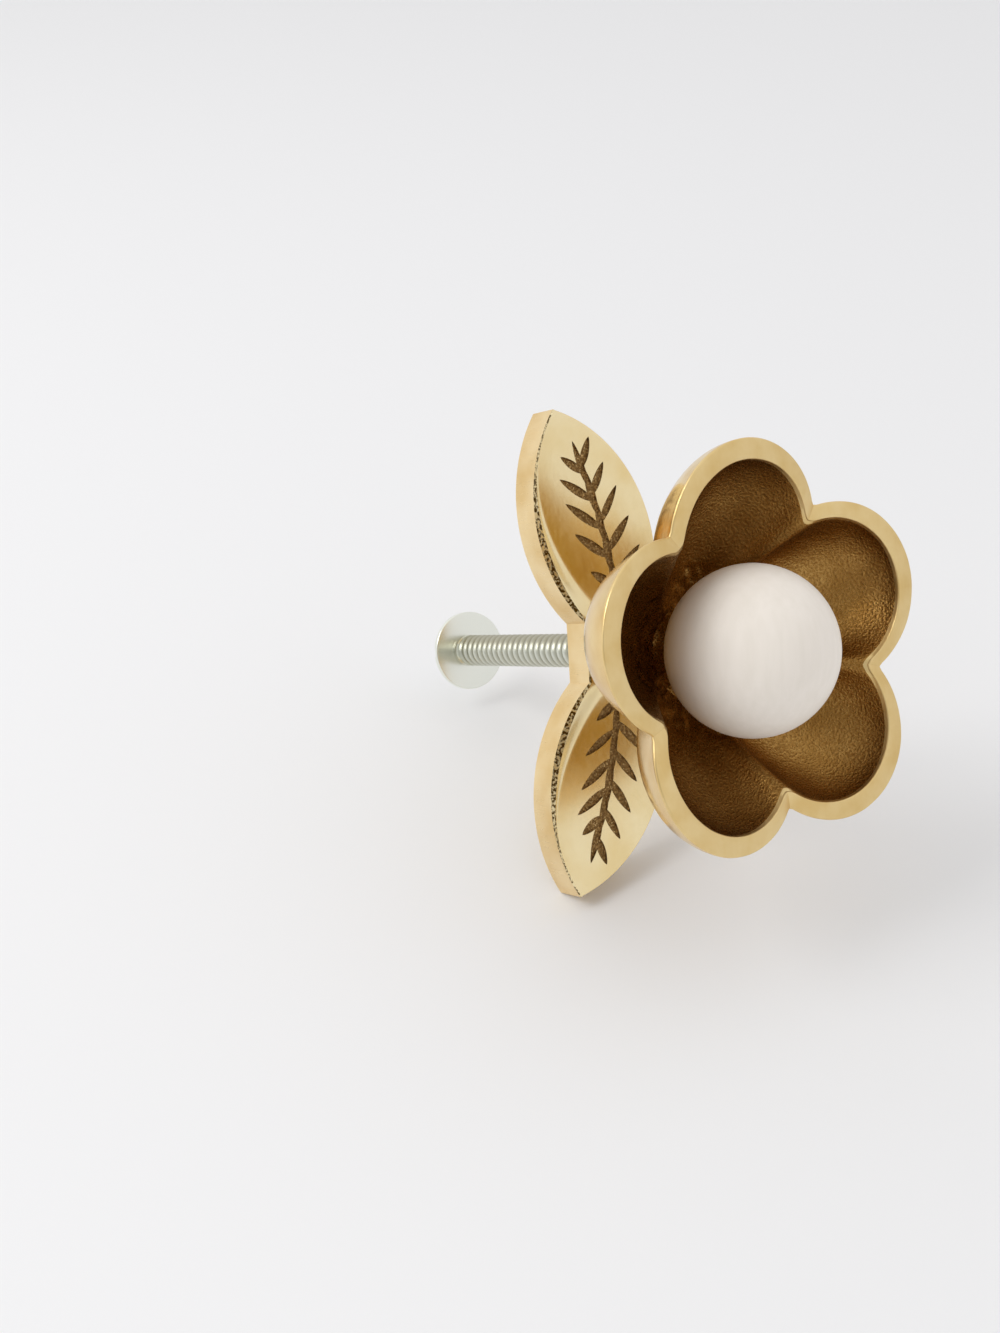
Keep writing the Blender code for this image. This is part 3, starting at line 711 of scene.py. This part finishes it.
def antiqued_brass():
    """Sand-cast brass darkened by a patina, then rubbed back a little on its grain."""
    material, tree, place = new_material("antiqued_sand_cast_brass")
    grain = clouds(tree, place, 0.24 * MM, 0.34, 0.68, detail=4.0)
    patch = clouds(tree, place, 6.0 * MM, 0.35, 0.65)
    worn = add(tree, "ShaderNodeMath", {0: grain, 1: patch, 2: 0.1}, operation="MULTIPLY_ADD")
    colour = add(tree, "ShaderNodeMix", {0: worn, 6: linear("936930"), 7: linear("C69E5C")},
                 data_type="RGBA")
    rough = add(tree, "ShaderNodeMapRange", {"Value": grain, "To Min": 0.32, "To Max": 0.22})
    surface(tree, colour, rough, relief=grain, depth=0.03 * MM)
    return material


seed = petal_seed()
cup = grow("flower_casting", seed,
           petal_tree([polished_brass(), brushed_rim(), antiqued_brass()]), {
               "Rows": len(seed.vertices), "Petals": petal_count, "Steps": petal_steps,
               "Turn": math.pi / 2.0 + flower_turn, "Lumps": lump_height,
               "Lump Size": lump_size, "Crumbs": crumb_height, "Crumb Size": crumb_size})
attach(cup, "root")
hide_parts("flower_cup")


# Bead: a ball turned from pale resin and left satin, with a blind hole for its pin. The pin is
# drawn brass wire, glued into the bead and into the seat at the bottom of the cup.

bead_low, bead_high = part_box("bead")
bead_radius = (bead_high[0] - bead_low[0]) / 2.0
bead_middle = bead_low[1] + bead_radius
bead_rings = 96
bead_columns = 192
bead_hole_depth = 5.8 * MM


def lathe(name, profile, columns, materials):
    """A round piece about the screw's axis, from its (radius, y) points."""
    turns = [2.0 * math.pi * i / columns for i in range(columns)]
    circles = [[Vector((radius * math.cos(turn), y, radius * math.sin(turn))) for turn in turns]
               for radius, y in profile]
    return skin_over(name, circles, [0] * columns, materials)


def satin_resin():
    """Cast resin rubbed matt: soft white with a faint grain that runs one way."""
    material, tree, place = new_material("satin_white_resin")
    grain = clouds(tree, place, 0.9 * MM, 0.3, 0.7, stretch=(0.12, 1.0, 1.0))
    colour = add(tree, "ShaderNodeMix", {0: grain, 6: linear("F2EAE0"), 7: linear("EDE5DA")},
                 data_type="RGBA")
    rough = add(tree, "ShaderNodeMapRange", {"Value": grain, "To Min": 0.44, "To Max": 0.50})
    surface(tree, colour, rough, metallic=0.0, relief=grain, depth=0.001 * MM)
    return material


def drawn_wire():
    """Drawn brass wire: smooth, with fine lines along its length."""
    material, tree, place = new_material("drawn_brass_wire")
    lines = clouds(tree, place, 0.15 * MM, 0.3, 0.7, stretch=(1.0, 0.05, 1.0))
    colour = add(tree, "ShaderNodeMix", {0: lines, 6: linear("CFA858"), 7: linear("B88F42")},
                 data_type="RGBA")
    surface(tree, colour, 0.35, relief=lines, depth=0.004 * MM)
    return material


mouth_turn = math.asin(pin_hole_radius / bead_radius)
ball = [(bead_radius * math.sin(turn), bead_middle - bead_radius * math.cos(turn))
        for turn in (i / bead_rings * (math.pi - mouth_turn) for i in range(bead_rings + 1))]
hole_end = ball[-1][1] - bead_hole_depth
ball += [(pin_hole_radius, hole_end), (0.0, hole_end)]
bead = bpy.data.objects.new("white_bead", lathe("white_bead", ball, bead_columns, [satin_resin()]))
scene.collection.objects.link(bead)
bead.data.shade_smooth()
bead.data.set_sharp_from_angle(angle=math.radians(40.0))
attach(bead, "root")
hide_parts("bead")

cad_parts["bead_pin"].material_slots[0].material = drawn_wire()


# Mounting screw: a steel machine screw, bright zinc plated, with a wide domed head and a slot
# right across it. The thread is rolled along the whole shaft, which runs through the plate's hub
# into the stem.

screw_low, screw_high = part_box("mounting_screw")
thread_radius = 2.0 * MM
thread_depth = 0.20 * MM
thread_pitch = 1.18 * MM
point_chamfer = 0.4 * MM
head_seat = 28.4 * MM
head_radius = screw_high[0]
head_rim = 0.6 * MM
head_edge = 0.12 * MM
head_steps = 20
head_finish_start = head_seat - 0.2 * MM
thread_end = head_seat - 0.3 * MM
slot_width = 1.1 * MM
slot_depth = 1.4 * MM
thread_rows = 16
shaft_columns = 48


def screw_profile():
    """(radius, y) points from the screw's point, down its shaft and over its head."""
    point, crown = screw_low[1], screw_high[1]
    start = point + point_chamfer
    rows = int((head_seat - start) / thread_pitch * thread_rows)
    profile = [(0.0, point), (thread_radius - point_chamfer, point)]
    profile += [(thread_radius, start + (head_seat - start) * i / rows) for i in range(rows + 1)]
    for i in range(rim_steps + 1):
        turn = i / rim_steps * math.pi / 2.0
        profile.append((head_radius - head_edge * (1.0 - math.sin(turn)),
                        head_seat + head_edge * (1.0 - math.cos(turn))))
    rise = crown - head_seat - head_rim
    dome_radius = (head_radius ** 2 + rise ** 2) / (2.0 * rise)
    dome_turn = math.asin(head_radius / dome_radius)
    for i in range(head_steps + 1):
        turn = dome_turn * (1.0 - i / head_steps)
        profile.append((dome_radius * math.sin(turn),
                        crown - dome_radius * (1.0 - math.cos(turn))))
    return profile


def thread_tree(zinc):
    """Sinks a helical groove into the shaft and cuts the driver's slot out of the head."""
    tree, given = new_tree("rolled_thread", {
        "Pitch": "Float", "Depth": "Float", "Start": "Float", "End": "Float",
        "Slot Width": "Float", "Slot Depth": "Float"})
    spot = add(tree, "ShaderNodeSeparateXYZ", {0: add(tree, "GeometryNodeInputPosition")})
    known = {"x": spot.outputs[0], "y": spot.outputs[1], "z": spot.outputs[2],
             "pitch": given["Pitch"], "depth": given["Depth"], "start": given["Start"],
             "end": given["End"]}
    work_out(tree, known, [
        ("angle", "ARCTAN2", "z", "x"), ("turns", "DIVIDE", "angle", 2.0 * math.pi),
        ("runs", "DIVIDE", "y", "pitch"), ("phase", "ADD", "turns", "runs"),
        ("wave", "MULTIPLY", "phase", 2.0 * math.pi), ("crest", "COSINE", "wave"),
        ("root", "MULTIPLY_ADD", "crest", 0.5, -0.5), ("sink", "MULTIPLY", "root", "depth"),
        ("after", "GREATER_THAN", "y", "start"), ("before", "LESS_THAN", "y", "end"),
        ("threaded", "MULTIPLY", "after", "before"), ("sink", "MULTIPLY", "sink", "threaded")])
    outward = add(tree, "ShaderNodeVectorMath",
                  {0: add(tree, "ShaderNodeCombineXYZ", {0: known["x"], 2: known["z"]})},
                  operation="NORMALIZE")
    shift = add(tree, "ShaderNodeVectorMath", {0: outward, "Scale": known["sink"]},
                operation="SCALE")
    threaded = add(tree, "GeometryNodeSetPosition",
                   {"Geometry": given["Geometry"], "Offset": shift})
    deep = add(tree, "ShaderNodeMath", {0: given["Slot Depth"], 1: 2.0}, operation="MULTIPLY")
    size = add(tree, "ShaderNodeCombineXYZ",
               {0: given["Slot Width"], 1: deep, 2: 4.0 * head_radius})
    block = add(tree, "GeometryNodeMeshCube", {"Size": size})
    block = add(tree, "GeometryNodeTransform",
                {"Geometry": block.outputs["Mesh"], "Translation": (0.0, screw_high[1], 0.0)})
    slotted = add(tree, "GeometryNodeMeshBoolean", {"Mesh 1": threaded, "Mesh 2": block},
                  operation="DIFFERENCE", solver="EXACT")
    end_tree(tree, slotted.outputs["Mesh"], [zinc])
    return tree


def bright_zinc():
    """Steel plated in bright zinc: a glossy cool head, and a hazy thread with painted shade in its
    grooves and a painted olive reflection along its +X side.
    """
    material, tree, place = new_material("bright_zinc_plating")
    spot = add(tree, "ShaderNodeSeparateXYZ", {0: place})
    known = work_out(tree, {"x": spot.outputs[0], "y": spot.outputs[1], "z": spot.outputs[2]}, [
        ("far", "MULTIPLY", "x", "x"), ("far", "MULTIPLY_ADD", "z", "z", "far"),
        ("far", "SQRT", "far"), ("head", "GREATER_THAN", "y", head_finish_start)])
    # Painted shade: the thread's grooves are coloured darker than its crests
    crest = add(tree, "ShaderNodeMapRange", {
        "Value": known["far"], "From Min": thread_radius - thread_depth,
        "From Max": thread_radius})
    # Painted reflection: the +X side of the thread is tinted olive for the dark gold it mirrors
    # there
    painted_reflection_tint = add(tree, "ShaderNodeMapRange", {
        "Value": known["x"], "From Min": 0.2 * MM, "From Max": 1.2 * MM, "To Max": 0.6})
    thread = add(tree, "ShaderNodeMix", {0: crest, 6: linear("A9A998"), 7: linear("DADCD0")},
                 data_type="RGBA")
    thread = add(tree, "ShaderNodeMix", {0: painted_reflection_tint, 6: thread, 7: linear("9D957C")},
                 data_type="RGBA")
    colour = add(tree, "ShaderNodeMix", {0: known["head"], 6: thread, 7: linear("EEF0E7")},
                 data_type="RGBA")
    rough = add(tree, "ShaderNodeMapRange",
                {"Value": known["head"], "To Min": 0.34, "To Max": 0.22})
    surface(tree, colour, rough)
    return material


screw_blank = lathe("screw_blank", screw_profile(), shaft_columns, [])
screw_blank.attributes.new("finish", "INT", "FACE")
screw = grow("threaded_screw", screw_blank, thread_tree(bright_zinc()), {
    "Pitch": thread_pitch, "Depth": thread_depth, "Start": screw_low[1] + point_chamfer,
    "End": thread_end, "Slot Width": slot_width, "Slot Depth": slot_depth})
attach(screw, "root")
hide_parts("mounting_screw")


# Table, light and camera: the knob lies on a plain pale table, on the tip of its lower leaf, in
# soft daylight from the upper left, and the room is dimmer behind the camera. The camera looks
# down past the flower's rim.

camera_place = Vector((0.00732, -0.13904, 0.10124))
to_top = Vector((0.9970, 0.0100, -0.0765)).normalized()
to_back = Vector((0.0493, -0.8447, 0.5330)).normalized()
to_right = to_top.cross(to_back).normalized()
table_tilt = math.radians(35.0)
table_half = 1.5
table_up = to_top * math.cos(table_tilt) + to_back * math.sin(table_tilt)
window_way = (to_top * 0.45 - to_right * 0.70 + to_back * 0.53).normalized()
window_distance = 0.7
dim_way = (to_back * 0.885 - to_right * 0.46).normalized()
dim_from, dim_to = 0.55, 0.95
room_light, dim_light = 1.0, 0.55

lens = bpy.data.cameras.new("photo_camera")
lens.lens = 40.51
lens.sensor_width = 36.0
lens.clip_start = 0.01
camera = bpy.data.objects.new("photo_camera", lens)
camera.matrix_world = (Matrix.Translation(camera_place)
                       @ Matrix((to_right, to_top, to_back)).transposed().to_4x4())
scene.collection.objects.link(camera)
scene.camera = camera


def table_top():
    """A matt pale table that only shows from above, so that it never hides the knob."""
    material, tree, _ = new_material("matt_pale_table")
    shader = add(tree, "ShaderNodeBsdfPrincipled",
                 {"Base Color": linear("EDEDEE"), "Roughness": 0.9, "Specular IOR Level": 0.2})
    clear = add(tree, "ShaderNodeBsdfTransparent")
    under = add(tree, "ShaderNodeNewGeometry").outputs["Backfacing"]
    sided = add(tree, "ShaderNodeMixShader", {0: under, 1: shader, 2: clear})
    add(tree, "ShaderNodeOutputMaterial", {"Surface": sided})
    return material


lowest = min(vertex.co.dot(table_up) for vertex in leaves.data.vertices)
away = table_up.cross(to_right)
corners = [table_up * lowest + to_right * (table_half * a) + away * (table_half * b)
           for a, b in ((-1, -1), (1, -1), (1, 1), (-1, 1))]
table_mesh = bpy.data.meshes.new("table")
table_mesh.from_pydata(corners, [], [(0, 1, 2, 3)])
if table_mesh.polygons[0].normal.dot(table_up) < 0.0:
    table_mesh.flip_normals()
table_mesh.materials.append(table_top())
table = bpy.data.objects.new("table", table_mesh)
scene.collection.objects.link(table)

lamp = bpy.data.lights.new("window", "AREA")
lamp.shape = "DISK"
lamp.size = 0.4
lamp.energy = 1.5
window = bpy.data.objects.new("window", lamp)
window.matrix_world = (Matrix.Translation(window_way * window_distance)
                       @ window_way.to_track_quat("Z", "Y").to_matrix().to_4x4())
scene.collection.objects.link(window)

world = bpy.data.worlds.new("pale_room")
scene.world = world
world.use_nodes = True
room = world.node_tree
room.nodes.clear()
way = add(room, "ShaderNodeTexCoord").outputs["Generated"]
facing = add(room, "ShaderNodeVectorMath", {0: way, 1: window_way}, operation="DOT_PRODUCT")
share = add(room, "ShaderNodeMapRange",
            {"Value": facing.outputs["Value"], "From Min": -0.8, "From Max": 0.9})
walls = add(room, "ShaderNodeMix", {0: share, 6: linear("E4E3E4"), 7: linear("FFFFFF")},
            data_type="RGBA")
beside = add(room, "ShaderNodeVectorMath", {0: way, 1: dim_way}, operation="DOT_PRODUCT")
dimmed = add(room, "ShaderNodeMapRange",
             {"Value": beside.outputs["Value"], "From Min": dim_from, "From Max": dim_to,
              "To Min": room_light, "To Max": dim_light})
air = add(room, "ShaderNodeBackground", {"Color": walls, "Strength": dimmed})
add(room, "ShaderNodeOutputWorld", {"Surface": air})
